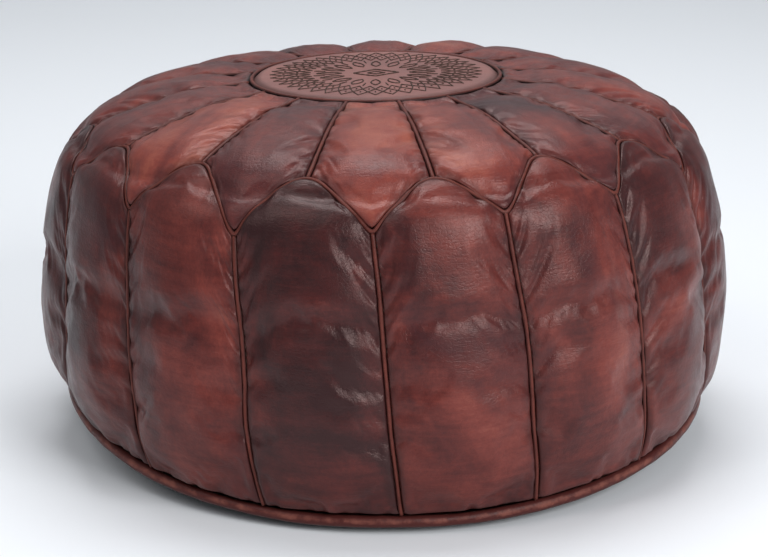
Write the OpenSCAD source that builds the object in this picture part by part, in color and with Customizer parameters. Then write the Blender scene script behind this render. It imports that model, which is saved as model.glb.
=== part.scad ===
// Round leather floor pouf: a ring of pointed top panels around an embroidered
// medallion, a ring of gabled side panels, a sewn base with a zip, and the
// stuffed inner bag that gives the cover its shape. Millimetres, +Z up, and the
// pouf stands on z = 0 with its front towards -Y.

/* [Cover] */
// Panels in each ring
panels = 16; // [8:1:24]
// Leather thickness
leather = 2; // [1:0.2:3]
// How far a side panel swells between its seams
side_swell = 8; // [0:0.5:14]
// How far a top panel swells between its seams
top_swell = 5; // [0:0.5:10]
// Turn of the base against the top, in degrees
twist = 4; // [0:0.5:8]
// Turn of the whole cover, in degrees
cover_turn = -1.3; // [-5:0.1:5]
// Sideways shift of the top's centre
top_shift = -6; // [-8:0.5:8]
// Sideways shift of the base's centre
base_shift = 1; // [-8:0.5:8]
// Rise of the top towards +X, per millimetre
top_slope = 0.02; // [0:0.002:0.03]
// How much higher the base seam sits at the -X side than at the front
lift_left = 30; // [0:1:35]
// How much higher the base seam sits at the +X side than at the front
lift_right = 20; // [0:1:35]

/* [Seams] */
// Radius of a welt
welt_r = 2.4; // [1.5:0.1:4]
// Radius of the roll around the base
roll_r = 4.2; // [3:0.1:6]
// Gap between neighbouring pieces
gap = 0.3; // [0.1:0.1:1]

/* [Medallion] */
// Radius of the medallion disc
medallion_r = 95.8; // [80:0.2:120]
// Outer radius of the embroidery
embroidery_r = 85; // [60:1:95]
// Width of an embroidered line
thread_w = 1.6; // [0.8:0.1:3]
// Height of the thread over the leather
thread_h = 0.6; // [0.3:0.1:1.5]
// Points around the embroidery's zigzag edge
points = 36; // [24:2:48]
// Petals in the inner ring
petals = 16; // [8:1:24]

/* [Base and zip] */
// Radius of the base's flat middle
base_flat_r = 196; // [190:1:230]
// Length of the zip opening
zip_length = 300; // [200:10:360]
// Width of the opening between the hems
zip_gap = 14; // [10:1:20]
// Distance between neighbouring zip teeth
tooth_pitch = 3; // [2:0.5:5]
// Distance of the slider from the opening's centre
slider_x = 140; // [0:5:140]

/* [Hidden] */
step = 360 / panels;
top_z = 283;
// The seam profile, as radius and height, from the medallion's edge to the base
profile = [
    [101.2, 283], [148, 278], [192, 267], [221, 256], [236, 243], [249, 227.5],
    [258, 191], [262.5, 156], [265.5, 118], [266.5, 81], [264.5, 47], [257.5, 15.5]
];
peak_row = 3;
valley_row = 5;
// How far each low and each high corner of the crown seam strays down, in profile steps
low_stray = [0.17, -0.12, -0.15, 0.05, 0.10, -0.08, 0.06, 0, -0.10, 0.08, 0.05, -0.06, 0.10, 0, 0.15, 0.35];
high_stray = [0.23, -0.14, 0, 0.08, -0.10, 0.06, 0.10, -0.05, 0, 0.10, -0.08, 0.05, 0.06, 0, -0.14, 0.18];
base_row = len(profile) - 1;
row_length = 20; // length of one profile step near the crown seam
opening = zip_length + 32; // length of the gap in the base
seam_inset = welt_r + gap + 0.2;
seam_z = profile[base_row][1]; // height of the base seam at the front
rim_r = 249.5; // outer radius of the base leather
zip_z = 6.2; // underside of the zip tapes
pin_z = 2.3; // height of the pull's pin
pin_r = 0.6;
lug_r = 0.68;

// ---- Surface of the cover ----

// A smooth curve through the points p, read at the step t
function curve(p, t) =
    let (
        last = len(p) - 1,
        i = max(0, min(last - 1, floor(t))),
        f = t - i,
        a = p[max(0, i - 1)],
        b = p[i],
        c = p[i + 1],
        d = p[min(last, i + 2)]
    )
    b + 0.5 * f * ((c - a) + f * ((2 * a - 5 * b + 4 * c - d) + f * (3 * b - a - 3 * c + d)));

// Outward normal of the profile at the step t
function slope_normal(t) =
    let (d = curve(profile, t + 0.05) - curve(profile, t - 0.05))
    [-d[1], d[0]] / norm(d);

// Centre shift of the cover at the height z
function lean(z) = z > 150 ? top_shift * (z - 150) / 133 : base_shift * (150 - z) / 132;

// How much higher the base seam sits at x than at the front
function side_lift(x) = (x < 0 ? lift_left : lift_right) * pow(min(1, abs(x) / 255), 2.6);

// A profile point [radius, height] turned to the angle a; a = 0 faces -Y
function place(rz, a) =
    let (
        x = rz[0] * sin(a) + lean(rz[1]),
        lift = side_lift(x) * pow(max(0, (90 - rz[1]) / (90 - seam_z)), 1.3)
    )
    [x, -rz[0] * cos(a), rz[1] * (1 + top_slope * x / top_z) + lift];

// The cover at the angle a and step t, moved out by h
function cover(a, t, h) =
    let (turn = twist * max(0, t - valley_row) / (base_row - valley_row))
    place(curve(profile, t) + h * slope_normal(t), a + turn + cover_turn);

// Step where the crown seam runs at the angle a
function crown(a) =
    let (
        f = abs(a / step - round(a / step)) * 2,
        rise = 0.45 * f + 0.55 * sin(90 * f),
        low = valley_row + low_stray[(round(a / step) + panels) % len(low_stray)],
        high = peak_row + high_stray[(floor(a / step) + panels) % len(high_stray)]
    )
    low - (low - high) * rise;

// ---- Closed shells ----

// Side faces and both skins of a grid with columns x rows points a side
function shell_faces(columns, rows) =
    let (
        all = columns * rows,
        edge = concat(
            [for (i = [0:columns - 1]) i * rows],
            [for (j = [1:rows - 1]) (columns - 1) * rows + j],
            [for (i = [columns - 2:-1:0]) i * rows + rows - 1],
            [for (j = [rows - 2:-1:1]) j]
        ),
        n = len(edge)
    )
    concat(
        [for (i = [0:columns - 2], j = [0:rows - 2], k = [0, 1])
            let (a = i * rows + j)
            k == 0 ? [a, a + rows, a + rows + 1] : [a, a + rows + 1, a + 1]],
        [for (i = [0:columns - 2], j = [0:rows - 2], k = [0, 1])
            let (a = all + i * rows + j)
            k == 0 ? [a, a + rows + 1, a + rows] : [a, a + 1, a + rows + 1]],
        [for (i = [0:n - 1], k = [0, 1])
            let (a = edge[i], b = edge[(i + 1) % n])
            k == 0 ? [a, all + a, all + b] : [a, all + b, b]]
    );

// A tube of radius r along the points path, open or joined end to end
function tube_points(path, ups, r, sides, joined) =
    let (n = len(path))
    [for (i = [0:n - 1])
        let (
            next = path[joined ? (i + 1) % n : min(n - 1, i + 1)],
            last = path[joined ? (i + n - 1) % n : max(0, i - 1)],
            along = (next - last) / norm(next - last),
            side = cross(along, ups[i]) / norm(cross(along, ups[i])),
            up = cross(side, along)
        )
        for (k = [0:sides - 1])
            path[i] + r * (cos(360 * k / sides) * side + sin(360 * k / sides) * up)];

function tube_faces(n, sides, joined) =
    concat(
        [for (i = [0:n - (joined ? 1 : 2)], k = [0:sides - 1], m = [0, 1])
            let (
                a = i * sides + k,
                b = i * sides + (k + 1) % sides,
                c = ((i + 1) % n) * sides + (k + 1) % sides,
                d = ((i + 1) % n) * sides + k
            )
            m == 0 ? [a, b, c] : [a, c, d]],
        joined ? [] : [[for (k = [sides - 1:-1:0]) k]],
        joined ? [] : [[for (k = [0:sides - 1]) (n - 1) * sides + k]]
    );

// A welt through points given as [angle, step]
module welt(line, joined) {
    path = [for (p = line) cover(p[0], p[1], 0)];
    ups = [for (p = line) cover(p[0], p[1], 1) - cover(p[0], p[1], 0)];
    sides = 6;
    polyhedron(tube_points(path, ups, welt_r, sides, joined), tube_faces(len(line), sides, joined));
}

// ---- Top ----

module at_top() {
    translate([top_shift, 0, top_z + top_slope * top_shift])
        rotate([0, -atan(top_slope), 0])
            children();
}

module medallion() {
    color("#8a5a58")
        at_top()
            cylinder(h = leather, r = medallion_r, $fn = 96);
}

// A ring of n points that swings between two radii, as a line of thread
module zigzag(r_in, r_out, n, w) {
    difference() {
        polygon([for (i = [0:2 * n - 1])
            let (r = (i % 2 == 0 ? r_in : r_out) + w / 2)
            r * [cos(180 * i / n), sin(180 * i / n)]]);
        polygon([for (i = [0:2 * n - 1])
            let (r = (i % 2 == 0 ? r_in : r_out) - w / 2)
            r * [cos(180 * i / n), sin(180 * i / n)]]);
    }
}

module thread_ring(r, w) {
    difference() {
        circle(r = r + w / 2, $fn = 96);
        circle(r = r - w / 2, $fn = 96);
    }
}

// A pointed leaf outline from radius r_in to r_out
module petal(r_in, r_out, bow, w) {
    half = (r_out - r_in) / 2;
    arc = (half * half + bow * bow) / (2 * bow);
    translate([(r_in + r_out) / 2, 0])
        difference() {
            intersection_for (s = [-1, 1])
                translate([0, s * (arc - bow)])
                    circle(r = arc, $fn = 96);
            intersection_for (s = [-1, 1])
                translate([0, s * (arc - bow)])
                    circle(r = arc - w, $fn = 96);
        }
}

module medallion_embroidery() {
    row = (embroidery_r - 54) / 3;
    color("#3d241c")
        at_top()
            translate([0, 0, leather + 0.05])
                linear_extrude(thread_h) {
                    for (k = [0:2])
                        zigzag(54 + k * row + 1, 54 + (k + 1) * row - 1, points, thread_w);
                    thread_ring(52, thread_w);
                    for (k = [0:petals - 1])
                        rotate(360 * k / petals)
                            petal(20, 50, 5, thread_w);
                    thread_ring(17.5, thread_w);
                    for (side = [9, 17])
                        difference() {
                            square(side + thread_w, center = true);
                            square(side - thread_w, center = true);
                        }
                }
}

module medallion_welt() {
    color("#6b3a30")
        at_top()
            rotate_extrude($fn = 96)
                translate([medallion_r + gap + welt_r, 0.6])
                    circle(r = welt_r, $fn = 24);
}

module top_panel(number) {
    centre = (number - 1) * step;
    across = 8;
    down = 6;
    grid = [for (i = [0:across], j = [0:down])
        let (
            u = i / across,
            v = j / down,
            a0 = centre + (u - 0.5) * step,
            end_row = crown(a0) - (seam_inset * 1.5) / row_length,
            t = v * end_row,
            inset = seam_inset / curve(profile, t)[0] * 57.3,
            a = centre + (u - 0.5) * (step - 2 * inset),
            swell = top_swell * sin(180 * u) * pow(sin(180 * (0.04 + 0.92 * v)), 0.7)
        )
        [a, t, swell]];
    points_3d = concat(
        [for (g = grid) cover(g[0], g[1], g[2] + leather / 2)],
        [for (g = grid) cover(g[0], g[1], g[2] - leather / 2)]
    );
    color("#8a3f26")
        polyhedron(points_3d, shell_faces(across + 1, down + 1));
}

module top_welts() {
    color("#5f2a1c")
        for (k = [0:panels - 1]) {
            a = (k + 0.5) * step;
            end_row = crown(a) - (2 * welt_r + 1) / row_length;
            welt([for (i = [0:5]) [a, i / 5 * end_row]], false);
        }
}

module crown_welt() {
    per_panel = 10;
    color("#5f2a1c")
        welt([for (i = [0:panels * per_panel - 1])
            let (a = i * step / per_panel)
            [a, crown(a)]], true);
}

// ---- Sides ----

module side_panel(number) {
    centre = (number - 0.5) * step;
    across = 10;
    down = 8;
    last_row = base_row - 0.02;
    grid = [for (i = [0:across], j = [0:down])
        let (
            u = i / across,
            v = j / down,
            a0 = centre + (u - 0.5) * step,
            first_row = crown(a0) + (seam_inset * 1.5) / row_length,
            t = first_row + v * (last_row - first_row),
            inset = seam_inset / curve(profile, t)[0] * 57.3,
            a = centre + (u - 0.5) * (step - 2 * inset),
            swell = side_swell * pow(sin(180 * u), 0.8) * pow(sin(180 * (0.02 + 0.95 * v)), 0.6)
        )
        [a, t, swell]];
    points_3d = concat(
        [for (g = grid) cover(g[0], g[1], g[2] + leather / 2)],
        [for (g = grid) cover(g[0], g[1], g[2] - leather / 2)]
    );
    color("#7a3524")
        polyhedron(points_3d, shell_faces(across + 1, down + 1));
}

module side_welts() {
    color("#5f2a1c")
        for (k = [0:panels - 1]) {
            a = k * step;
            first_row = crown(a) + (2 * welt_r + 1.5) / row_length;
            last_row = base_row - 0.04;
            welt([for (i = [0:8]) [a, first_row + i / 8 * (last_row - first_row)]], false);
        }
}

// ---- Base ----

module at_base() {
    translate([base_shift, 0, 0])
        children();
}

module base_roll() {
    count = 96;
    angles = [for (i = [0:count - 1]) 360 * i / count];
    path = [for (a = angles)
        let (x = 254.5 * sin(a) + base_shift)
        [x, -254.5 * cos(a), seam_z - 6.5 + side_lift(x)]];
    ups = [for (a = angles) [sin(a), -cos(a), 0]];
    color("#7d3526")
        polyhedron(tube_points(path, ups, roll_r, 8, true), tube_faces(count, 8, true));
}

// The base leather's rim on one side. It rises to the roll sharply at the front
// and the back, and in a long slope at the sides.
module base_rim() {
    across = 24;
    down = 6;
    start = base_flat_r - 3;
    grid = [for (i = [0:across], j = [0:down])
        let (
            r = start + (rim_r - start) * j / down,
            x = r * cos(180 * i / across),
            sharp = 6 - 4.2 * min(1, abs(x) / 200),
            rise = (side_lift(x + base_shift) + 4) * pow(j / down, sharp)
        )
        [x, r * sin(180 * i / across), rise]];
    points_3d = concat(
        [for (g = grid) g + [0, gap / 2, leather]],
        [for (g = grid) g + [0, gap / 2, 0]]
    );
    polyhedron(points_3d, shell_faces(across + 1, down + 1));
}

// One half of the base, with a hem turned up along the zip opening
module base_half(side) {
    color("#5a2a20")
        at_base()
            mirror([0, side < 0 ? 1 : 0, 0])
                union() {
                    difference() {
                        translate([0, gap / 2, 0])
                            rotate_extrude(angle = 180, $fn = 96)
                                square([base_flat_r, leather]);
                        translate([-opening / 2, -1, -1])
                            cube([opening, zip_gap / 2 + 1, leather + 2]);
                    }
                    translate([-opening / 2, zip_gap / 2, leather / 2])
                        cube([opening, leather, zip_z - 0.05 - leather / 2]);
                    base_rim();
                }
}

module zip_tape(side) {
    color("#2c2420")
        at_base()
            mirror([0, side < 0 ? 1 : 0, 0])
                translate([-zip_length / 2 - 8, 1.1, zip_z])
                    cube([zip_length + 16, 13, 0.6]);
}

// A row of teeth clipped over one tape's edge
module zip_teeth(side) {
    count = floor((zip_length - 8) / tooth_pitch / 2);
    shift = side < 0 ? tooth_pitch / 2 : 0;
    color("#b08d57")
        at_base()
            mirror([0, side < 0 ? 1 : 0, 0])
                for (i = [-count:count])
                    translate([i * tooth_pitch + shift - 0.7, 0.6, 0])
                        difference() {
                            translate([0, 0, zip_z - 0.8])
                                cube([1.4, 2.4, 2.2]);
                            translate([-1, 0.45, zip_z - 0.05])
                                cube([4, 4, 0.7]);
                        }
}

// Slider body: two plates joined by a thin post, with the pull's lug below
module zip_slider() {
    color("#c29a5b")
        at_base()
            translate([slider_x, 0, 0]) {
                translate([-6, -4, zip_z - 2.2])
                    cube([12, 8, 1.2]);
                translate([-6, -4, zip_z + 1.6])
                    cube([12, 8, 1]);
                translate([1, -0.4, zip_z - 1.2])
                    cube([4, 0.8, 3]);
                difference() {
                    translate([-2, -1.2, pin_z - 1.4])
                        cube([4, 2.4, zip_z - 2.1 - pin_z + 1.4]);
                    translate([0, -3, pin_z])
                        rotate([-90, 0, 0])
                            cylinder(h = 6, r = lug_r, $fn = 32);
                }
            }
}

// Pull: a tab with a slot around the lug and a pin through the lug's bore
module zip_pull() {
    color("#c29a5b")
        at_base()
            translate([slider_x, 0, pin_z]) {
                rotate([-90, 0, 0])
                    translate([0, 0, -3])
                        cylinder(h = 6, r = pin_r, $fn = 32);
                for (s = [-1, 1])
                    translate([0, s * 2.9, 0])
                        rotate([-90, 0, 0])
                            translate([0, 0, -0.9])
                                cylinder(h = 1.8, r = 1.1, $fn = 32);
                for (s = [-1, 1])
                    translate([-5, s * 2.9 - 0.9, -0.6])
                        cube([5, 1.8, 1.2]);
                difference() {
                    translate([-24, -3.8, -0.6])
                        cube([20, 7.6, 1.2]);
                    translate([-21, 0, -1])
                        cylinder(h = 2, r = 1.5, $fn = 32);
                }
            }
}

// Two small stops crimped on the tapes at the closed end
module zip_top_stops() {
    color("#b08d57")
        at_base()
            for (s = [-1, 1])
                translate([zip_length / 2 - 1.5, s * 1.9 - 1.3, zip_z - 0.8])
                    difference() {
                        cube([3, 2.6, 2.2]);
                        translate([-1, s > 0 ? 0.45 : -0.45, 0.75])
                            cube([5, 2.6, 0.7]);
                    }
}

// The box that holds both tapes together at the other end
module zip_bottom_stop() {
    color("#b08d57")
        at_base()
            translate([-zip_length / 2 - 1.5, 0, zip_z - 0.8])
                difference() {
                    translate([0, -3, 0])
                        cube([3, 6, 2.2]);
                    for (s = [-1, 1])
                        translate([-1, s > 0 ? 1.05 : -4.05, 0.75])
                            cube([5, 3, 0.7]);
                }
}

// ---- Inside ----

// Half section of the filled bag, shrunk by d
function fill_outline(d) = [
    [0, 10 + d], [188 - d, 10 + d], [214 - d, 18 + d], [231 - d, 36], [242 - d, 62],
    [250 - d, 100], [251 - d, 150], [246 - d, 190], [235 - d, 214], [217 - d, 236 - d],
    [188 - d, 252 - d], [145 - d, 265 - d], [97 - d, 273 - d], [0, 274 - d]
];

module bag_shell(low, high) {
    rotate_extrude($fn = 96)
        intersection() {
            difference() {
                polygon(fill_outline(0));
                polygon(fill_outline(1));
            }
            translate([0, low])
                square([300, high - low]);
        }
}

module inner_bag_top() {
    color("#d9cdb8")
        bag_shell(150.1, 300);
}

module inner_bag_bottom() {
    color("#cfc2ab")
        bag_shell(0, 149.9);
}

module stuffing() {
    color("#efe6d4")
        rotate_extrude($fn = 96)
            polygon(fill_outline(1.3));
}

medallion();
medallion_embroidery();
medallion_welt();
top_panel(1);  // top_panel_01
top_panel(2);  // top_panel_02
top_panel(3);  // top_panel_03
top_panel(4);  // top_panel_04
top_panel(5);  // top_panel_05
top_panel(6);  // top_panel_06
top_panel(7);  // top_panel_07
top_panel(8);  // top_panel_08
top_panel(9);  // top_panel_09
top_panel(10);  // top_panel_10
top_panel(11);  // top_panel_11
top_panel(12);  // top_panel_12
top_panel(13);  // top_panel_13
top_panel(14);  // top_panel_14
top_panel(15);  // top_panel_15
top_panel(16);  // top_panel_16
side_panel(1);  // side_panel_01
side_panel(2);  // side_panel_02
side_panel(3);  // side_panel_03
side_panel(4);  // side_panel_04
side_panel(5);  // side_panel_05
side_panel(6);  // side_panel_06
side_panel(7);  // side_panel_07
side_panel(8);  // side_panel_08
side_panel(9);  // side_panel_09
side_panel(10);  // side_panel_10
side_panel(11);  // side_panel_11
side_panel(12);  // side_panel_12
side_panel(13);  // side_panel_13
side_panel(14);  // side_panel_14
side_panel(15);  // side_panel_15
side_panel(16);  // side_panel_16
top_welts();
crown_welt();
side_welts();
base_roll();
base_half(-1);  // base_half_front
base_half(1);  // base_half_back
zip_tape(-1);  // zip_tape_front
zip_tape(1);  // zip_tape_back
zip_teeth(-1);  // zip_teeth_front
zip_teeth(1);  // zip_teeth_back
zip_slider();
zip_pull();
zip_top_stops();
zip_bottom_stop();
inner_bag_top();
inner_bag_bottom();
stuffing();
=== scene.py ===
"""Round leather floor pouf: leather panels swollen over a stuffed bag, welted seams, an embroidered
medallion and a zipped base. Lengths are in millimetres until a mesh is made, and metres after that."""

import math

import bpy
import numpy as np
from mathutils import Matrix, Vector


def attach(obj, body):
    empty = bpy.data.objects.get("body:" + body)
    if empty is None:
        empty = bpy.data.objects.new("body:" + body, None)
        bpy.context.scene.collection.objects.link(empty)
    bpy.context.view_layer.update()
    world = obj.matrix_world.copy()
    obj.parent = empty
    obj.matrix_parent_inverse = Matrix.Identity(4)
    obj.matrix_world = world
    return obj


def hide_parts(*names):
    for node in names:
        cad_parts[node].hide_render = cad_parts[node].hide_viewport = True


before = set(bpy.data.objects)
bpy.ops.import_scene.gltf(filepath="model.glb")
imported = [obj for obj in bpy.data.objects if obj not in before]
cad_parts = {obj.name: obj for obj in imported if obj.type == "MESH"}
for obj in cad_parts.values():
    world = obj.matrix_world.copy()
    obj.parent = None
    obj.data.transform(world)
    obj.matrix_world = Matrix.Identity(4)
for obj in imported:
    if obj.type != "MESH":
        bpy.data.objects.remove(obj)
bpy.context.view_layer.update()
BODY = "pouf"

# ---- Camera, floor and lights ----

scene = bpy.context.scene


def look(obj, place, target):
    obj.location = place
    obj.rotation_euler = (Vector(target) - Vector(place)).to_track_quat("-Z", "Y").to_euler()


def add_camera():
    distance, lift = 1.7595, math.radians(16.69)
    target = Vector((0.0005, 0, 0.1151))
    cam = bpy.data.cameras.new("camera")
    cam.lens = 101.07
    obj = bpy.data.objects.new("camera", cam)
    scene.collection.objects.link(obj)
    look(obj, target + distance * Vector((0, -math.cos(lift), math.sin(lift))), target)
    scene.camera = obj


def add_area(name, place, target, size, power, colour):
    lamp = bpy.data.lights.new(name, "AREA")
    lamp.shape = "RECTANGLE"
    lamp.size, lamp.size_y = size
    lamp.energy = power
    lamp.color = colour
    obj = bpy.data.objects.new(name, lamp)
    scene.collection.objects.link(obj)
    look(obj, place, target)


add_camera()
COVER_MIDDLE = (0, 0, 0.15)
FLOOR_BEHIND = (0, 2.0, 0)
add_area("key", (1.58, -2.02, 1.4), COVER_MIDDLE, (1.5, 1.3), 54, (1.0, 1.0, 1.0))
add_area("overhead", (0.0, 0.55, 2.5), (0, 0, 0.1), (1.6, 1.2), 36, (0.98, 0.99, 1.0))
add_area("front", (-0.8, -1.1, 2.3), COVER_MIDDLE, (0.6, 0.5), 5, (1.0, 0.99, 0.98))
add_area("fill", (-1.7, -1.2, 2.1), COVER_MIDDLE, (1.2, 1.2), 10, (1.0, 0.98, 0.96))
add_area("back", (0.0, 2.3, 1.6), FLOOR_BEHIND, (3.2, 0.8), 6, (0.97, 0.99, 1.0))

# ---- Small node graphs ----


class Graph:
    """A material's node tree, with one short call for each kind of node it needs."""

    def __init__(self, name):
        self.material = bpy.data.materials.new(name)
        self.material.use_nodes = True
        self.tree = self.material.node_tree
        self.shader = self.tree.nodes["Principled BSDF"]

    def node(self, kind, inputs=(), **settings):
        made = self.tree.nodes.new(kind)
        for key, value in settings.items():
            setattr(made, key, value)
        for key, value in dict(inputs).items():
            self.put(made.inputs[key], value)
        return made

    def put(self, socket, value):
        if isinstance(value, bpy.types.NodeSocket):
            self.tree.links.new(value, socket)
        else:
            socket.default_value = value

    def attribute(self, name, output="Fac"):
        return self.node("ShaderNodeAttribute", attribute_name=name).outputs[output]

    def place(self):
        return self.node("ShaderNodeTexCoord").outputs["Object"]

    def math(self, operation, a, b=0.0, clamp=False):
        made = self.node("ShaderNodeMath", operation=operation, use_clamp=clamp)
        self.put(made.inputs[0], a)
        self.put(made.inputs[1], b)
        return made.outputs[0]

    def stretch(self, vector, scale):
        made = self.node("ShaderNodeMapping")
        self.put(made.inputs["Vector"], vector)
        made.inputs["Scale"].default_value = scale
        return made.outputs[0]

    def noise(self, vector, scale, detail=3.0, roughness=0.55, distortion=0.0):
        made = self.node(
            "ShaderNodeTexNoise",
            {"Scale": scale, "Detail": detail, "Roughness": roughness, "Distortion": distortion},
        )
        self.put(made.inputs["Vector"], vector)
        return made.outputs["Fac"]

    def cells(self, vector, scale, feature="DISTANCE_TO_EDGE"):
        made = self.node("ShaderNodeTexVoronoi", {"Scale": scale}, feature=feature)
        self.put(made.inputs["Vector"], vector)
        return made.outputs["Distance"]

    def span(self, value, low, high, to_low=0.0, to_high=1.0):
        made = self.node("ShaderNodeMapRange", interpolation_type="SMOOTHSTEP")
        for key, part in zip(("Value", "From Min", "From Max", "To Min", "To Max"),
                             (value, low, high, to_low, to_high)):
            self.put(made.inputs[key], part)
        return made.outputs["Result"]

    def ramp(self, value, stops):
        made = self.node("ShaderNodeValToRGB")
        ramp = made.color_ramp
        while len(ramp.elements) < len(stops):
            ramp.elements.new(0.5)
        for element, (at, colour) in zip(ramp.elements, stops):
            element.position = at
            element.color = (*colour, 1)
        self.put(made.inputs[0], value)
        return made.outputs[0]

    def mix(self, factor, a, b, blend="MIX"):
        made = self.node("ShaderNodeMix", data_type="RGBA", blend_type=blend)
        for key, value in (("Factor_Float", factor), ("A_Color", a), ("B_Color", b)):
            socket = next(s for s in made.inputs if s.identifier == key)
            self.put(socket, (*value, 1) if isinstance(value, tuple) else value)
        return next(s for s in made.outputs if s.identifier == "Result_Color")

    def bump(self, height, strength, distance, normal=None):
        made = self.node("ShaderNodeBump", {"Strength": strength, "Distance": distance})
        self.put(made.inputs["Height"], height)
        if normal:
            self.put(made.inputs["Normal"], normal)
        return made.outputs[0]

    def finish(self, colour, roughness, normal=None, **fixed):
        self.put(self.shader.inputs["Base Color"], colour)
        self.put(self.shader.inputs["Roughness"], roughness)
        if normal:
            self.put(self.shader.inputs["Normal"], normal)
        for key, value in fixed.items():
            self.shader.inputs[key.replace("_", " ")].default_value = value
        return self.material


# ---- Materials ----


def panel_leather(name, stops):
    """Hand-dyed leather: cloudy dye, brushed streaks, painted shade in the seam creases, a fine crackle
    and a soft gloss.
    """
    g = Graph(name)
    cut = g.attribute("cut", "Vector")
    tone = g.attribute("tone")
    seam = g.attribute("seam")
    clouds = g.noise(cut, 10, 3, 0.55, 0.8)
    blots = g.noise(cut, 34, 4, 0.6, 0.5)
    streaks = g.noise(g.stretch(cut, (22, 190, 22)), 1, 4, 0.6, 0.3)
    value = g.math("ADD", tone, g.math("MULTIPLY", g.math("SUBTRACT", clouds, 0.5), 1.5))
    value = g.math("ADD", value, g.math("MULTIPLY", g.math("SUBTRACT", blots, 0.5), 0.5))
    value = g.math("ADD", value, g.math("MULTIPLY", g.math("SUBTRACT", streaks, 0.5), 0.4))
    mottle = g.noise(cut, 280, 4, 0.7)
    value = g.math("ADD", value, g.math("MULTIPLY", g.math("SUBTRACT", mottle, 0.5), 0.35))
    colour = g.ramp(value, stops)
    purple = g.span(g.noise(cut, 7, 4, 0.6, 1.2), 0.50, 0.72, 0, 0.6)
    colour = g.mix(purple, colour, (0.038, 0.010, 0.013))
    # Painted shade: darker within about 10 mm of each seam, where the leather rolls into the crease, and
    # nearly black at the seam's edge.
    seam_shade_reach = g.math("ADD", seam, g.math("MULTIPLY", g.math("SUBTRACT", blots, 0.5), 10))
    colour = g.mix(g.span(seam_shade_reach, 0, 10, 0.5, 0), colour, (0.022, 0.008, 0.008))
    colour = g.mix(g.span(seam, 0.5, 1.5, 0.93, 0), colour, (0.008, 0.003, 0.003))
    specks = g.span(g.noise(cut, 320, 3, 0.7), 0.62, 0.78, 0, 0.4)
    colour = g.mix(specks, colour, (0.030, 0.010, 0.010))
    crackle = g.cells(g.stretch(cut, (230, 330, 230)), 1)
    crackle = g.span(crackle, 0.0, 0.12)
    grain = g.noise(cut, 620, 4, 0.65)
    brushed = g.noise(g.stretch(cut, (90, 620, 90)), 1, 4, 0.6)
    height = g.math("ADD", g.math("MULTIPLY", crackle, 0.16), g.math("MULTIPLY", grain, 0.45))
    height = g.math("ADD", height, g.math("MULTIPLY", brushed, 0.5))
    height = g.math("ADD", height, g.math("MULTIPLY", blots, 0.8))
    normal = g.bump(height, 0.4, 0.0008)
    rough = g.span(g.noise(cut, 60, 4, 0.65), 0.3, 0.72, 0.28, 0.42)
    return g.finish(colour, rough, normal, Specular_IOR_Level=0.38, Specular_Tint=(1.0, 0.74, 0.71, 1))


def welt_leather(name, dark, light, crest_reach=0.62):
    """Leather folded over a cord: a crest lighter partly from rubbed wear and partly from a painted
    highlight, and painted shade on its sides and underside.
    """
    g = Graph(name)
    spot = g.place()
    crest = g.attribute("crest")
    patches = g.noise(spot, 70, 4, 0.65)
    # The lighter crest: partly rubbed wear, partly a painted highlight.
    rubbed_and_lit_crest = g.span(g.math("ADD", crest, g.math("MULTIPLY", g.math("SUBTRACT", patches, 0.5), 0.9)),
                  crest_reach, 1.15)
    colour = g.mix(rubbed_and_lit_crest, dark, light)
    # Painted shade: the cord's sides and underside turn nearly black where it meets the panels and the
    # floor.
    colour = g.mix(g.span(crest, 0.15, 0.6, 0.94, 0), colour, (0.006, 0.002, 0.002))
    height = g.math("ADD", g.noise(spot, 520, 4, 0.6), g.noise(spot, 160, 3))
    rough = g.span(patches, 0.3, 0.7, 0.36, 0.58)
    return g.finish(colour, rough, g.bump(height, 0.45, 0.0008), Specular_IOR_Level=0.2)


def smooth_leather():
    """The medallion's plain leather, pale and slightly rubbed, with painted shade towards its rim."""
    g = Graph("medallion_leather")
    spot = g.place()
    clouds = g.noise(spot, 16, 4, 0.6, 0.6)
    streaks = g.noise(g.stretch(spot, (20, 150, 20)), 1, 4, 0.6)
    value = g.math("ADD", g.math("MULTIPLY", clouds, 0.7), g.math("MULTIPLY", streaks, 0.3))
    colour = g.ramp(value, [(0.25, (0.15, 0.066, 0.060)), (0.52, (0.22, 0.096, 0.086)),
                            (0.8, (0.30, 0.132, 0.110))])
    rim = g.attribute("seam")
    # Painted shade: darker within 7 mm of the rim, in the groove where the medallion meets the panels.
    colour = g.mix(g.span(rim, 0, 7, 0.6, 0), colour, (0.045, 0.016, 0.014))
    height = g.math("ADD", g.noise(spot, 700, 4, 0.6), g.noise(spot, 90, 4))
    rough = g.span(clouds, 0.3, 0.7, 0.42, 0.6)
    return g.finish(colour, rough, g.bump(height, 0.35, 0.0006), Specular_IOR_Level=0.3)


def thread(name, colour):
    g = Graph(name)
    spot = g.place()
    fibre = g.noise(g.stretch(spot, (900, 900, 900)), 1, 3, 0.7)
    shade = g.mix(g.span(fibre, 0.3, 0.7), tuple(0.55 * c for c in colour), colour)
    return g.finish(shade, 0.72, g.bump(fibre, 0.6, 0.0004), Specular_IOR_Level=0.3)


def woven(name, dark, light, pitch):
    """Plain-woven cloth with threads pitch metres apart."""
    g = Graph(name)
    spot = g.place()
    turn = 2 * math.pi / pitch
    across = g.node("ShaderNodeSeparateXYZ", {"Vector": spot})
    warp = g.math("SINE", g.math("MULTIPLY", across.outputs[0], turn))
    weft = g.math("SINE", g.math("MULTIPLY", across.outputs[1], turn))
    weave = g.math("MULTIPLY", warp, weft)
    slub = g.noise(spot, 240, 4, 0.65)
    value = g.math("ADD", g.math("MULTIPLY", weave, 0.25), slub)
    colour = g.mix(g.span(value, 0.2, 0.85), dark, light)
    return g.finish(colour, 0.88, g.bump(value, 0.4, 0.0004), Specular_IOR_Level=0.2)


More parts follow.
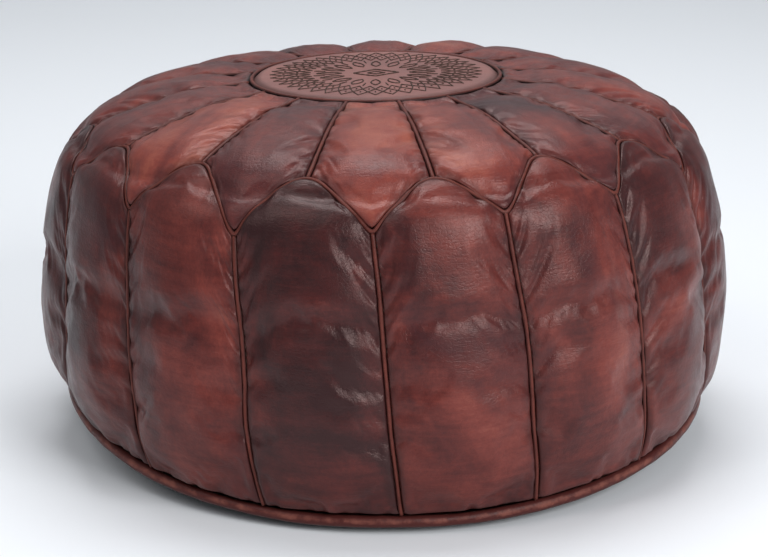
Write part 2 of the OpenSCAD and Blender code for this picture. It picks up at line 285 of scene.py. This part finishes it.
def brass():
    g = Graph("zip_brass")
    spot = g.place()
    stain = g.noise(spot, 140, 4, 0.65)
    colour = g.ramp(stain, [(0.3, (0.42, 0.27, 0.11)), (0.55, (0.66, 0.47, 0.21)),
                            (0.8, (0.75, 0.58, 0.30))])
    rough = g.span(g.noise(g.stretch(spot, (80, 900, 900)), 1, 4), 0.3, 0.7, 0.24, 0.42)
    return g.finish(colour, rough, g.bump(stain, 0.15, 0.0002), Metallic=1.0)


def floor_paint():
    """Pale seamless paper, with painted light making it a little brighter behind the pouf."""
    g = Graph("floor_paper")
    spot = g.place()
    along = g.node("ShaderNodeSeparateXYZ", {"Vector": spot}).outputs[1]
    # Painted light: the paper's colour brightens with distance behind the pouf.
    colour = g.mix(g.span(along, -1.2, 2.6), (0.84, 0.865, 0.90), (0.92, 0.96, 1.0))
    return g.finish(colour, 0.8, Specular_IOR_Level=0.2)


SIDE_DYES = [(0.05, (0.022, 0.006, 0.007)), (0.30, (0.051, 0.010, 0.010)), (0.52, (0.098, 0.018, 0.015)),
             (0.74, (0.156, 0.031, 0.024)), (0.98, (0.225, 0.058, 0.042))]
# The top panels' ramp is the sides' dye made lighter: painted light falling on the top.
TOP_DYES_PAINTED_LIGHTER = [(0.05, (0.036, 0.010, 0.012)), (0.30, (0.074, 0.016, 0.016)), (0.52, (0.128, 0.025, 0.021)),
            (0.74, (0.196, 0.040, 0.029)), (0.98, (0.275, 0.074, 0.048))]
side_leather = panel_leather("side_leather", SIDE_DYES)
top_leather = panel_leather("top_leather", TOP_DYES_PAINTED_LIGHTER)
seam_leather = welt_leather("welt_leather", (0.060, 0.013, 0.010), (0.130, 0.030, 0.021))
roll_leather = welt_leather("roll_leather", (0.070, 0.015, 0.013), (0.190, 0.060, 0.044), 0.85)
medallion_leather = smooth_leather()
dark_thread = thread("embroidery_thread", (0.060, 0.030, 0.022))
seam_thread = thread("seam_thread", (0.045, 0.020, 0.015))

# ---- Shape of the cover, as in part.scad ----

PANELS = 16
STEP = 360 / PANELS
PROFILE = np.array([
    [101.2, 283], [148, 278], [192, 267], [221, 256], [236, 243], [249, 227.5],
    [258, 191], [262.5, 156], [265.5, 118], [266.5, 81], [264.5, 47], [257.5, 15.5],
], float)
PEAK_ROW, VALLEY_ROW, BASE_ROW = 3, 5, len(PROFILE) - 1
TOP_Z, TOP_SHIFT, BASE_SHIFT, TOP_SLOPE, TWIST = 283, -6, 1, 0.02, 4
LIFT_LEFT, LIFT_RIGHT = 30, 20
COVER_TURN = -1.3
# How far each low and each high corner of the crown seam strays down, in steps, from the front to +X
LOW_STRAY = [0.17, -0.12, -0.15, 0.05, 0.10, -0.08, 0.06, 0.00,
             -0.10, 0.08, 0.05, -0.06, 0.10, 0.00, 0.15, 0.35]
HIGH_STRAY = [0.23, -0.14, 0.00, 0.08, -0.10, 0.06, 0.10, -0.05,
              0.00, 0.10, -0.08, 0.05, 0.06, 0.00, -0.14, 0.18]
SEAM_Z = PROFILE[-1, 1]
MEDALLION_R = 95.8
LEATHER = 2


def noise3(p, size, seed=0):
    """Smooth noise from -1 to 1 at the points p, with features about size long."""
    q = np.asarray(p, float) / size + 37.7 * seed + 1000
    cell = np.floor(q).astype(np.int64)
    f = q - cell
    f = f * f * f * (f * (f * 6 - 15) + 10)
    total = 0
    for dx in (0, 1):
        for dy in (0, 1):
            for dz in (0, 1):
                x, y, z = cell[..., 0] + dx, cell[..., 1] + dy, cell[..., 2] + dz
                h = (x * 73856093) ^ (y * 19349663) ^ (z * 83492791) ^ (seed * 2654435761)
                h = (h ^ (h >> 13)) * 1274126177 & 0x7FFFFFFF
                h = (h ^ (h >> 15)) * 668265263 & 0x7FFFFFFF
                weight = (f[..., 0] if dx else 1 - f[..., 0]) * (f[..., 1] if dy else 1 - f[..., 1])
                weight = weight * (f[..., 2] if dz else 1 - f[..., 2])
                total = total + weight * (h / 0x3FFFFFFF - 1)
    return total


def curve(t):
    """The seam profile's radius and height at the step t."""
    last = len(PROFILE) - 1
    t = np.asarray(t, float)
    i = np.clip(np.floor(t).astype(int), 0, last - 1)
    f = (t - i)[..., None]
    a, b, c, d = (PROFILE[np.clip(i + k, 0, last)] for k in (-1, 0, 1, 2))
    return b + 0.5 * f * ((c - a) + f * ((2 * a - 5 * b + 4 * c - d) + f * (3 * b - a - 3 * c + d)))


def lean(z):
    return np.where(z > 150, TOP_SHIFT * (z - 150) / 133, BASE_SHIFT * (150 - z) / 132)


def side_lift(x):
    """How much higher the base seam sits at x than at the front."""
    return np.where(x < 0, LIFT_LEFT, LIFT_RIGHT) * np.minimum(1, np.abs(x) / 255) ** 2.6


def warp(a, t):
    """Hand-sewn unevenness: how far the angle and the step stray."""
    spot = np.stack([np.sin(np.radians(a)) * 3, np.cos(np.radians(a)) * 3, t * 0.45], -1)
    fade = np.clip((BASE_ROW - t) / 2, 0, 1) * np.clip(t / 1.5, 0, 1)
    return a + 0.55 * fade * noise3(spot, 0.8, 1), t + 0.10 * fade * noise3(spot, 1.0, 2)


def cover(a, t, h=0.0):
    """Points on the cover at the angle a and step t, moved out by h."""
    a, t = warp(np.asarray(a, float), np.asarray(t, float))
    turn = TWIST * np.maximum(0, t - VALLEY_ROW) / (BASE_ROW - VALLEY_ROW)
    d = curve(t + 0.05) - curve(t - 0.05)
    out = np.stack([-d[..., 1], d[..., 0]], -1) / np.linalg.norm(d, axis=-1, keepdims=True)
    rz = curve(t) + np.asarray(h, float)[..., None] * out
    angle = np.radians(a + turn + COVER_TURN)
    z = rz[..., 1]
    x = rz[..., 0] * np.sin(angle) + lean(z)
    rise = side_lift(x) * np.clip((90 - z) / (90 - SEAM_Z), 0, None) ** 1.3
    return np.stack([x, -rz[..., 0] * np.cos(angle), z * (1 + TOP_SLOPE * x / TOP_Z) + rise], -1)


def crown(a):
    """Step where the zigzag crown seam runs at the angle a."""
    a = np.asarray(a, float)
    f = np.abs(a / STEP - np.round(a / STEP)) * 2
    tight = np.sqrt(f * f + 0.0064) - 0.08
    f = tight / (np.sqrt(1.0064) - 0.08)
    rise = 0.45 * np.sin(np.pi / 2 * f ** 1.15) + 0.55 * np.sin(np.pi / 2 * f)
    low = VALLEY_ROW + np.take(LOW_STRAY, np.round(a / STEP).astype(int) % PANELS)
    high = PEAK_ROW + np.take(HIGH_STRAY, np.floor(a / STEP).astype(int) % PANELS)
    return low - (low - high) * rise


# ---- Meshes ----


def add_mesh(name, points, faces, material, attributes=(), smooth=True):
    """A piece from points in millimetres, riding on the pouf's own body."""
    mesh = bpy.data.meshes.new(name)
    mesh.from_pydata((np.asarray(points).reshape(-1, 3) * 0.001).tolist(), [], faces)
    for key, values in dict(attributes).items():
        kind = "FLOAT_VECTOR" if np.ndim(values) == 2 else "FLOAT"
        layer = mesh.attributes.new(key, kind, "POINT")
        layer.data.foreach_set("vector" if kind == "FLOAT_VECTOR" else "value",
                               np.asarray(values, np.float32).ravel())
    mesh.materials.append(material)
    if smooth:
        mesh.shade_smooth()
    mesh.update()
    obj = bpy.data.objects.new(name, mesh)
    scene.collection.objects.link(obj)
    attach(obj, BODY)
    return obj


def grid_faces(columns, rows, wrap=False, start=0):
    faces = []
    for i in range(columns if wrap else columns - 1):
        a0, b0 = start + i * rows, start + (i + 1) % columns * rows
        for j in range(rows - 1):
            faces.append((a0 + j, a0 + j + 1, b0 + j + 1, b0 + j))
    return faces


def grid_normals(p):
    """Unit normals of a grid of points.

    They point outward where columns run anticlockwise and rows run down."""
    across = np.gradient(p, axis=0)
    down = np.gradient(p, axis=1)
    n = np.cross(down, across)
    return n / np.maximum(np.linalg.norm(n, axis=-1, keepdims=True), 1e-9)


# ---- The cover's soft shape ----

PER_PANEL = 20
TOP_ROWS, SIDE_ROWS = 28, 42
SIDE_SWELL, TOP_SWELL = 9.0, 6.0
EVEN_SHARE, BLOWN_SHARE = 0.4, 0.75  # of the even pillow shape and of the simulated one


def cover_grid():
    """The whole cover as one grid whose lines follow every seam: angles and steps."""
    a = np.arange(PANELS * PER_PANEL) * STEP / PER_PANEL
    seam = crown(a)[:, None]
    top = np.linspace(0, 1, TOP_ROWS + 1) * seam
    side = seam + np.linspace(0, 1, SIDE_ROWS + 1)[1:] * (BASE_ROW - seam)
    t = np.concatenate([top, side], 1)
    return np.repeat(a[:, None], t.shape[1], 1), t


def sewn_points(shape):
    """Grid points held by a seam."""
    column = np.arange(shape[0])[:, None] % PER_PANEL
    row = np.arange(shape[1])[None, :]
    held = (row == 0) | (row == TOP_ROWS) | (row == shape[1] - 1)
    held = held | ((column == PER_PANEL // 2) & (row < TOP_ROWS))
    return held | ((column == 0) & (row > TOP_ROWS))


def plain_swell(shape):
    column = np.arange(shape[0])[:, None] % PER_PANEL / PER_PANEL
    row = np.arange(shape[1])[None, :]
    top = np.abs(np.sin(np.pi * (column + 0.5))) * np.sin(np.pi * np.clip(row / TOP_ROWS, 0, 1))
    down = np.clip((row - TOP_ROWS) / SIDE_ROWS, 0, 1)
    side = np.sin(np.pi * column) * np.sin(np.pi * down) ** 0.6
    return np.where(row <= TOP_ROWS, TOP_SWELL * np.clip(top, 0, 1) ** 0.7, SIDE_SWELL * side ** 0.8)


def swell_by_cloth(start, held):
    """Blows the sewn grid up with a cloth simulation and gives back its points."""
    columns, rows = held.shape
    mesh = bpy.data.meshes.new("cover_cloth")
    mesh.from_pydata((start.reshape(-1, 3) * 0.001).tolist(), [], grid_faces(columns, rows, wrap=True))
    obj = bpy.data.objects.new("cover_cloth", mesh)
    scene.collection.objects.link(obj)
    group = obj.vertex_groups.new(name="sewn")
    group.add(np.flatnonzero(held.ravel()).tolist(), 1.0, "REPLACE")
    cloth = obj.modifiers.new("cloth", "CLOTH")
    s = cloth.settings
    s.quality = 6
    s.mass = 0.25
    s.tension_stiffness = s.compression_stiffness = 30
    s.shear_stiffness = 12
    s.bending_stiffness = 1.2
    s.tension_damping = s.compression_damping = s.shear_damping = 12
    s.air_damping = 3
    s.vertex_group_mass = "sewn"
    s.shrink_min = -0.028
    s.use_pressure = True
    s.uniform_pressure_force = 5
    s.effector_weights.gravity = 0
    cloth.collision_settings.use_collision = False
    for frame_number in range(1, 26):
        scene.frame_set(frame_number)
    shown = obj.evaluated_get(bpy.context.evaluated_depsgraph_get())
    out = np.empty(len(mesh.vertices) * 3)
    shown.data.vertices.foreach_get("co", out)
    scene.frame_set(1)
    bpy.data.objects.remove(obj)
    bpy.data.meshes.remove(mesh)
    return out.reshape(columns, rows, 3) * 1000


def soft_cover():
    """The cover's grid after it has swollen: an even pillow with the simulation's own folds on it."""
    a, t = cover_grid()
    flat = cover(a, t)
    out = cover(a, t, np.ones(t.shape)) - flat
    even = plain_swell(t.shape)
    held = sewn_points(t.shape)
    moved = swell_by_cloth(flat + out * (~held)[..., None] * 0.5, held) - flat
    rise = (moved * out).sum(-1)
    along = moved - rise[..., None] * out
    for rows, most in ((slice(0, TOP_ROWS), TOP_SWELL), (slice(TOP_ROWS, None), SIDE_SWELL)):
        part = rise[:, rows] * most / max(np.percentile(rise[:, rows], 98), 3.0)
        rise[:, rows] = EVEN_SHARE * even[:, rows] + BLOWN_SHARE * np.clip(part, -3, most * 1.2)
    size = np.linalg.norm(along, axis=-1, keepdims=True)
    along = along * np.minimum(1, 3 / np.maximum(size, 1e-6))
    return flat + out * rise[..., None] + along


def resample(grid, x, y):
    """The grid read smoothly at the fractional columns x and rows y."""
    def weights(t, last):
        i = np.clip(np.floor(t).astype(int), 0, last - 1)
        f = t - i
        seam_shade_reach = np.clip(i[:, None] + np.arange(-1, 3), 0, last)
        w = np.stack([-f + 2 * f**2 - f**3, 2 - 5 * f**2 + 3 * f**3,
                      f + 4 * f**2 - 3 * f**3, -f**2 + f**3], -1)
        return seam_shade_reach, 0.5 * w
    ix, wx = weights(x, grid.shape[0] - 1)
    iy, wy = weights(y, grid.shape[1] - 1)
    part = np.einsum("ik,ikjc->ijc", wx, grid[ix])
    return np.einsum("jk,ijkc->ijc", wy, part[:, iy])


EDGE = 1.8  # a panel starts this far from its seam's centreline
ROLL_WIDTH, ROLL_DEPTH = 2.8, 2.6
ROLL_DEPTH_AT_ENDS = 1.0  # beside the medallion and the base
PANEL_GRID = 2.4  # spacing of a panel's points
TOP_FOLD, TOP_FOLD_REACH = 1.3, 90
SIDE_FOLD, SIDE_FOLD_REACH = 2.0, 42
PUCKER, PUCKER_SIZE = 0.75, 7.5


def edge_spacing(length, pitch, first=EDGE):
    """Distances from one edge to the other, finer where the leather rolls into a seam."""
    seam_shade_reach = np.array([0, 0.2, 0.5, 0.9, 1.5, 2.3, 3.4, 4.8, 6.6, 8.8])
    start, end = first + seam_shade_reach, length - EDGE - seam_shade_reach[::-1]
    count = int((end[0] - start[-1]) / pitch)
    return np.concatenate([start, np.linspace(start[-1], end[0], count + 2)[1:-1], end])


def arc_lengths(p, axis):
    """Running length of a grid of points along one axis."""
    pieces = np.linalg.norm(np.diff(p, axis=axis), axis=-1)
    pad = [(0, 0), (0, 0)]
    pad[axis] = (1, 0)
    return np.cumsum(np.pad(pieces, pad), axis=axis)


def panel_shape(patch, number, is_top):
    """A panel's fine surface from its part of the cover's grid, with its distances from the seams."""
    columns, rows = patch.shape[0] - 1, patch.shape[1] - 1
    width = arc_lengths(patch, 0)[-1].mean()
    height = arc_lengths(patch, 1)[:, -1].mean()
    across = edge_spacing(width, PANEL_GRID)
    down = edge_spacing(height, PANEL_GRID, -0.8 if is_top else EDGE)
    p = resample(patch, across / width * columns, down / height * rows)
    right = arc_lengths(p, 0)
    below = arc_lengths(p, 1)
    wide, tall = right[-1], below[:, -1:]
    edge_line = p[:, -1] if is_top else p[:, 0]
    line = np.gradient(edge_line, axis=0)
    radial = p[:, 1] - p[:, 0]
    radial = radial / np.linalg.norm(radial, axis=-1, keepdims=True)
    line = line / np.linalg.norm(line, axis=-1, keepdims=True)
    square = np.sqrt(np.clip(1 - (line * radial).sum(-1) ** 2, 0.2, 1))[:, None]
    side_gap = np.minimum(right, wide - right)
    top_gap = below if is_top else below * square
    low_gap = (tall - below) * square if is_top else tall - below
    gap = np.minimum(side_gap, np.minimum(top_gap, low_gap))
    n = grid_normals(p)

    seed = number + (40 if is_top else 0)
    run = below if is_top else below - tall
    cut = np.stack([right - wide / 2, run, np.full_like(below, 90.0 * seed)], -1)
    lump = 1.9 * noise3(p, 85, 3) + 0.9 * noise3(p, 40, 4) + 0.3 * noise3(p, 17, 5)
    if is_top:
        folds = noise3(cut * [1, 0.22, 1], 17, 6)
        lump = lump * 0.8 + TOP_FOLD * folds * np.exp(-below / TOP_FOLD_REACH)
    else:
        folds = noise3(cut * [1, 0.4, 1], 23, 9)
        lump = lump + SIDE_FOLD * folds * np.exp(-top_gap / SIDE_FOLD_REACH)
    end_gap = np.minimum(top_gap, low_gap)
    pucker = PUCKER * noise3(cut * [0.3, 1, 1], PUCKER_SIZE, 7) * np.exp(-side_gap / 12)
    pucker = pucker + PUCKER * noise3(cut * [1, 0.3, 1], PUCKER_SIZE, 8) * np.exp(-end_gap / 14)
    rise = lump * (1 - np.exp(-gap / 16)) + pucker * (1 - np.exp(-gap / 2.5))
    depth = np.where((top_gap if is_top else low_gap) < ROLL_WIDTH, ROLL_DEPTH_AT_ENDS, ROLL_DEPTH)
    edge = 1 - np.clip(gap / ROLL_WIDTH, 0, 1)
    rise = rise - depth * (1 - np.sqrt(np.clip(1 - edge**2, 0, 1)))
    return p + n * rise[..., None], gap, cut


def add_panel(name, node, patch, number, is_top, tone, material):
    p, gap, cut = panel_shape(patch, number, is_top)
    attributes = {
        "seam": gap.ravel(),
        "tone": np.full(gap.size, tone),
        "cut": cut.reshape(-1, 3) * 0.001,
    }
    obj = add_mesh(name, p, grid_faces(*gap.shape), material, attributes)
    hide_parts(node)


# How light each panel's dye is, from the front panel round towards +X
TOP_TONES = [0.64, 0.58, 0.36, 0.36, 0.50, 0.56, 0.46, 0.54,
             0.58, 0.48, 0.52, 0.45, 0.50, 0.44, 0.76, 0.38]
SIDE_TONES = [0.50, 0.56, 0.42, 0.50, 0.46, 0.55, 0.40, 0.52,
              0.47, 0.58, 0.44, 0.50, 0.36, 0.42, 0.46, 0.26]


def add_panels(soft):
    around = np.concatenate([soft[-PER_PANEL:], soft, soft[:PER_PANEL + 1]])
    half = PER_PANEL // 2
    for k in range(PANELS):
        first = PER_PANEL + k * PER_PANEL
        patch = around[first - half:first + half + 1, :TOP_ROWS + 1]
        add_panel(f"top_leather_{k + 1:02d}", f"top_panel_{k + 1:02d}", patch, k, True,
                  TOP_TONES[k], top_leather)
        patch = around[first:first + PER_PANEL + 1, TOP_ROWS:]
        add_panel(f"side_leather_{k + 1:02d}", f"side_panel_{k + 1:02d}", patch, k, False,
                  SIDE_TONES[k], side_leather)


# ---- Seams ----


def sweep(path, ups, half_width, sides=10, closed=False, low=1.0):
    """A tube along path, half_width wide, whose underside reaches low times that.

    Gives points, faces and crest, which is 1 along the top and 0 at the sides and below."""
    n = len(path)
    along = np.roll(path, -1, 0) - np.roll(path, 1, 0)
    if not closed:
        along[0], along[-1] = path[1] - path[0], path[-1] - path[-2]
    along = along / np.linalg.norm(along, axis=1, keepdims=True)
    side = np.cross(along, ups)
    side = side / np.linalg.norm(side, axis=1, keepdims=True)
    up = np.cross(side, along)
    turn = np.arange(sides) * 2 * np.pi / sides
    high = np.where(np.sin(turn) > 0, 1, low) * np.sin(turn)
    r = np.broadcast_to(np.asarray(half_width, float), (n,))[:, None, None]
    points = path[:, None] + r * (np.cos(turn)[:, None] * side[:, None] + high[:, None] * up[:, None])
    faces = [
        (i * sides + k, i * sides + (k + 1) % sides,
         (i + 1) % n * sides + (k + 1) % sides, (i + 1) % n * sides + k)
        for i in range(n if closed else n - 1) for k in range(sides)
    ]
    if not closed:
        faces += [tuple(range(sides - 1, -1, -1)), tuple((n - 1) * sides + k for k in range(sides))]
    crest = np.tile(np.clip(high, 0, 1), n)
    return points.reshape(-1, 3), faces, crest


class Bundle:
    """Gathers many small shapes into one mesh."""

    def __init__(self):
        self.points, self.faces, self.crest, self.count = [], [], [], 0

    def add(self, points, faces, crest):
        self.points.append(points)
        self.faces += [tuple(i + self.count for i in face) for face in faces]
        self.crest.append(crest)
        self.count += len(points)

    def mesh(self, name, material, nodes=()):
        obj = add_mesh(name, np.concatenate(self.points), self.faces, material,
                       {"crest": np.concatenate(self.crest)})
        if nodes:
            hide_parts(*nodes)
        return obj


def seam_line(a, t, step=2.0):
    """Evenly spaced points along a seam given as angles and steps, with outward directions."""
    dense = np.linspace(0, 1, 600)
    spots = np.linspace(0, 1, len(a))
    a, t = np.interp(dense, spots, a), np.interp(dense, spots, t)
    length = arc_lengths(cover(a, t)[None], 1)[0]
    even = np.linspace(0, length[-1], max(2, int(length[-1] / step)))
    a, t = np.interp(even, length, a), np.interp(even, length, t)
    path = cover(a, t)
    ups = cover(a, t, np.ones(len(a))) - path
    return path, ups


WELT_R = 1.8


def add_welt(bundle, path, ups, closed=False, seed=0):
    swing = 1 + 0.10 * noise3(path, 13, 20 + seed) + 0.07 * noise3(path, 5, 21 + seed)
    bundle.add(*sweep(path - 0.5 * ups, ups, WELT_R * swing, closed=closed, low=1.6))


def add_stitches(bundle, path, ups, offset, pitch=5.0, length=3.1, radius=0.32):
    """Short stitches lying beside a seam."""
    run = arc_lengths(path[None], 1)[0]
    for at in np.arange(pitch / 2, run[-1] - length, pitch):
        ends = np.array([at, at + length * 0.5, at + length])
        p = np.stack([np.interp(ends, run, path[:, k]) for k in range(3)], -1)
        u = np.stack([np.interp(ends, run, ups[:, k]) for k in range(3)], -1)
        u = u / np.linalg.norm(u, axis=1, keepdims=True)
        side = np.cross((p[2] - p[0]) / np.linalg.norm(p[2] - p[0]), u[1])
        p = p + side * offset + u * np.array([-0.5, 0.15, -0.5])[:, None]
        bundle.add(*sweep(p, u, radius, sides=6))


def add_seams():
    top, crown_bundle, side, stitches = Bundle(), Bundle(), Bundle(), Bundle()
    for k in range(PANELS):
        a = (k + 0.5) * STEP
        steps = np.linspace(0, float(crown(a)) - 0.02, 40)
        path, ups = seam_line(np.full(40, a), steps)
        add_welt(top, path, ups, seed=k)
        a = k * STEP
        steps = np.linspace(float(crown(a)) + 0.04, BASE_ROW - 0.02, 60)
        path, ups = seam_line(np.full(60, a), steps)
        add_welt(side, path, ups, seed=k + 30)
        add_stitches(stitches, path, ups, -2.3)
    a = np.linspace(0, 360, 1441)[:-1]
    path = cover(a, crown(a))
    ups = cover(a, crown(a), np.ones(len(a))) - path
    add_welt(crown_bundle, path, ups, closed=True, seed=70)
    add_stitches(stitches, path, ups, 2.3)
    top.mesh("top_seam_welts", seam_leather, ["top_welts"])
    crown_bundle.mesh("crown_seam_welt", seam_leather, ["crown_welt"])
    side.mesh("side_seam_welts", seam_leather, ["side_welts"])
    stitches.mesh("seam_stitches", seam_thread)


# ---- Medallion ----


def on_top(p):
    """Points given flat around the medallion's centre, placed on the top."""
    x = p[..., 0] + TOP_SHIFT
    return np.stack([x, p[..., 1], TOP_Z + TOP_SLOPE * x + p[..., 2]], -1)


def medallion_height(x, y):
    """The medallion's soft surface above its seam plane."""
    r = np.hypot(x, y)
    spot = np.stack([x, y, np.zeros_like(x)], -1)
    fade = np.clip((MEDALLION_R - r) / 25, 0, 1)
    return LEATHER + fade * (0.9 + 0.7 * noise3(spot, 60, 50) + 0.25 * noise3(spot, 22, 51))


def polar(r, degrees):
    a = np.radians(degrees)
    return np.stack([r * np.cos(a), r * np.sin(a)], -1)


def add_medallion():
    count = 192
    rings = np.concatenate([np.linspace(3, 92, 38), [94, 95.6, 97, 98.2, 99.1, 99.6]])
    xy = polar(rings[None, :], np.arange(count)[:, None] * 360 / count)
    z = medallion_height(xy[..., 0], xy[..., 1])
    edge = np.clip((rings - (MEDALLION_R - 4.5)) / 4.5, 0, 1)
    z = z - 3.2 * (1 - np.sqrt(1 - edge**2))[None, :]
    points = on_top(np.concatenate([xy, z[..., None]], -1)).reshape(-1, 3)
    centre = on_top(np.array([[0, 0, float(medallion_height(np.zeros(1), np.zeros(1))[0])]]))
    rows = len(rings)
    middle = count * rows
    faces = grid_faces(count, rows, wrap=True)
    faces += [(i * rows, (i + 1) % count * rows, middle) for i in range(count)]
    seam = np.concatenate([np.tile(MEDALLION_R - rings, count), [MEDALLION_R]])
    obj = add_mesh("medallion_leather", np.concatenate([points, centre]), faces,
                   medallion_leather, {"seam": seam})
    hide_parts("medallion")


def add_medallion_welt():
    a = np.arange(0, 360, 0.75)
    flat = polar(np.full(len(a), MEDALLION_R + 2.7), a)
    path = on_top(np.concatenate([flat, np.full((len(a), 1), 0.4)], 1))
    ups = np.tile([0.0, 0.0, 1.0], (len(a), 1))
    bundle = Bundle()
    add_welt(bundle, path, ups, closed=True, seed=90)
    bundle.mesh("medallion_ring_welt", seam_leather, ["medallion_welt"])


def thread_line(bundle, line, radius=0.8, closed=False):
    """A line of chain stitch along flat points, resting on the medallion."""
    line = np.asarray(line, float)
    if closed:
        line = np.concatenate([line, line[:1]])
    run = np.concatenate([[0], np.cumsum(np.linalg.norm(np.diff(line, axis=0), axis=1))])
    even = np.linspace(0, run[-1], max(3, int(run[-1] / 1.6) + 1))
    flat = np.stack([np.interp(even, run, line[:, k]) for k in (0, 1)], -1)
    z = medallion_height(flat[:, 0], flat[:, 1]) + 0.1
    path = on_top(np.concatenate([flat, z[:, None]], 1))
    swing = 1 + 0.16 * np.sin(even / 2.4 * 2 * np.pi) + 0.12 * noise3(path, 3, 60)
    if closed:
        path, swing = path[:-1], swing[:-1]
    ups = np.tile([0.0, 0.0, 1.0], (len(path), 1))
    bundle.add(*sweep(path, ups, radius * swing, sides=8, closed=closed, low=0.6))


def add_embroidery():
    """A lattice of crossing lines with dots, a ring of leaves and a double lozenge in the middle."""
    bundle = Bundle()
    points, petals = 40, 16
    gap = 360 / points
    steps = np.linspace(0, 1, 4)
    bend = np.linspace(0, 1, 11)
    for k in range(points):
        for turn in (-1.5, 1.5):
            thread_line(bundle, polar(84 - 32 * steps, (k + turn * steps) * gap), 0.5)
        for r, shift in ((73.3, 0), (62.7, 0.5)):
            thread_line(bundle, polar(np.array([r - 0.9, r + 0.9]), (k + shift) * gap), 0.6)
    for k in range(petals):
        centre = k * 360 / petals
        bow = 3.6 * np.sin(np.pi * bend) ** 0.8
        r = 27 + 20 * bend
        for side in (-1, 1):
            thread_line(bundle, polar(r, centre + np.degrees(side * bow / r)), 0.6)
        thread_line(bundle, polar(np.array([41.0, 50.0]), centre + 180 / petals), 0.55)
    for size, width in ((18, 0.7), (7, 0.6)):
        lozenge = [(size, 0), (0, size * 0.74), (-size, 0), (0, -size * 0.74)]
        thread_line(bundle, lozenge, width, closed=True)
    bundle.mesh("medallion_threads", dark_thread, ["medallion_embroidery"])


# ---- Base ----


def add_base_roll():
    a = np.arange(0, 360, 0.5)
    flat = polar(np.full(len(a), 254.5), a)
    x = flat[:, 0] + BASE_SHIFT
    path = np.stack([x, flat[:, 1], SEAM_Z - 6.5 + side_lift(x)], -1)
    path[:, 2] += 0.6 * noise3(path, 60, 80)
    outward = np.concatenate([flat / 254.5, np.full((len(a), 1), 0.35)], 1)
    swing = 1 + 0.07 * noise3(path, 34, 81) + 0.05 * noise3(path, 9, 82)
    bundle = Bundle()
    bundle.add(*sweep(path, outward, 4.6 * swing, sides=16, closed=True))
    bundle.mesh("base_edge_roll", roll_leather, ["base_roll"])


# ---- Inside ----


def fill_outline(d):
    return np.array([
        [188 - d, 10 + d], [214 - d, 18 + d], [231 - d, 36], [242 - d, 62],
        [250 - d, 100], [251 - d, 150], [246 - d, 190], [235 - d, 214], [217 - d, 236 - d],
        [188 - d, 252 - d], [145 - d, 265 - d], [97 - d, 273 - d], [3, 274 - d],
    ], float)


def add_filling(name, nodes, d, low, high, material, lump, size):
    """A lumpy shell of revolution inside the cover, between two heights."""
    outline = np.concatenate([[[3, 10 + d], [120, 10 + d]], fill_outline(d)])
    run = np.concatenate([[0], np.cumsum(np.linalg.norm(np.diff(outline, axis=0), axis=1))])
    even = np.linspace(0, run[-1], 90)
    r, z = (np.interp(even, run, outline[:, k]) for k in (0, 1))
    keep = (z >= low) & (z <= high)
    r, z = r[keep], z[keep]
    count = 144
    a = np.arange(count)[:, None] * 360 / count
    flat = polar(r[None, :], a)
    p = np.concatenate([flat, np.broadcast_to(z, (count, len(z)))[..., None]], -1)
    dent = lump * (0.5 + 0.5 * noise3(p, size, 95)) * np.clip((r - 20) / 60, 0, 1)
    inward = np.concatenate([-flat / np.maximum(r, 1)[None, :, None], np.zeros((count, len(z), 1))], -1)
    p = p + inward * dent[..., None]
    obj = add_mesh(name, p, [f[::-1] for f in grid_faces(count, len(z), wrap=True)], material)
    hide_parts(*nodes)


# ---- Build ----

soft = soft_cover()
add_panels(soft)
add_seams()
add_medallion()
add_medallion_welt()
add_embroidery()
add_base_roll()

cotton = woven("bag_cotton", (0.42, 0.37, 0.29), (0.66, 0.60, 0.50), 0.0012)
scrap = woven("filling_scrap", (0.35, 0.30, 0.26), (0.75, 0.68, 0.58), 0.004)
add_filling("inner_bag_upper", ["inner_bag_top"], 0.0, 150.1, 300, cotton, 3.0, 40)
add_filling("inner_bag_lower", ["inner_bag_bottom"], 0.0, 0, 150, cotton, 3.0, 40)
add_filling("filling", ["stuffing"], 5.0, 0, 300, scrap, 8.0, 28)

metal = brass()
tape = woven("zip_tape_cloth", (0.016, 0.011, 0.010), (0.050, 0.036, 0.032), 0.0009)
# The base halves carry no crest attribute, so welt_leather's painted side shade covers them whole and
# darkens them nearly to black.
base_leather = welt_leather("base_leather", (0.045, 0.016, 0.013), (0.085, 0.034, 0.026), 0.8)
for node_name, material in (
    ("base_half_front", base_leather), ("base_half_back", base_leather),
    ("zip_tape_front", tape), ("zip_tape_back", tape),
    ("zip_teeth_front", metal), ("zip_teeth_back", metal),
    ("zip_slider", metal), ("zip_pull", metal),
    ("zip_top_stops", metal), ("zip_bottom_stop", metal),
):
    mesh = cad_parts[node_name].data
    mesh.materials.clear()
    mesh.materials.append(material)

bpy.ops.mesh.primitive_plane_add(size=16, location=(0, 3, 0))
floor = bpy.context.object
floor.name = "floor"
floor.data.materials.append(floor_paint())

world = bpy.data.worlds.new("studio")
world.use_nodes = True
world.node_tree.nodes["Background"].inputs["Color"].default_value = (0.93, 0.96, 1.0, 1)
world.node_tree.nodes["Background"].inputs["Strength"].default_value = 0.32
scene.world = world
scene.view_settings.view_transform = "Standard"
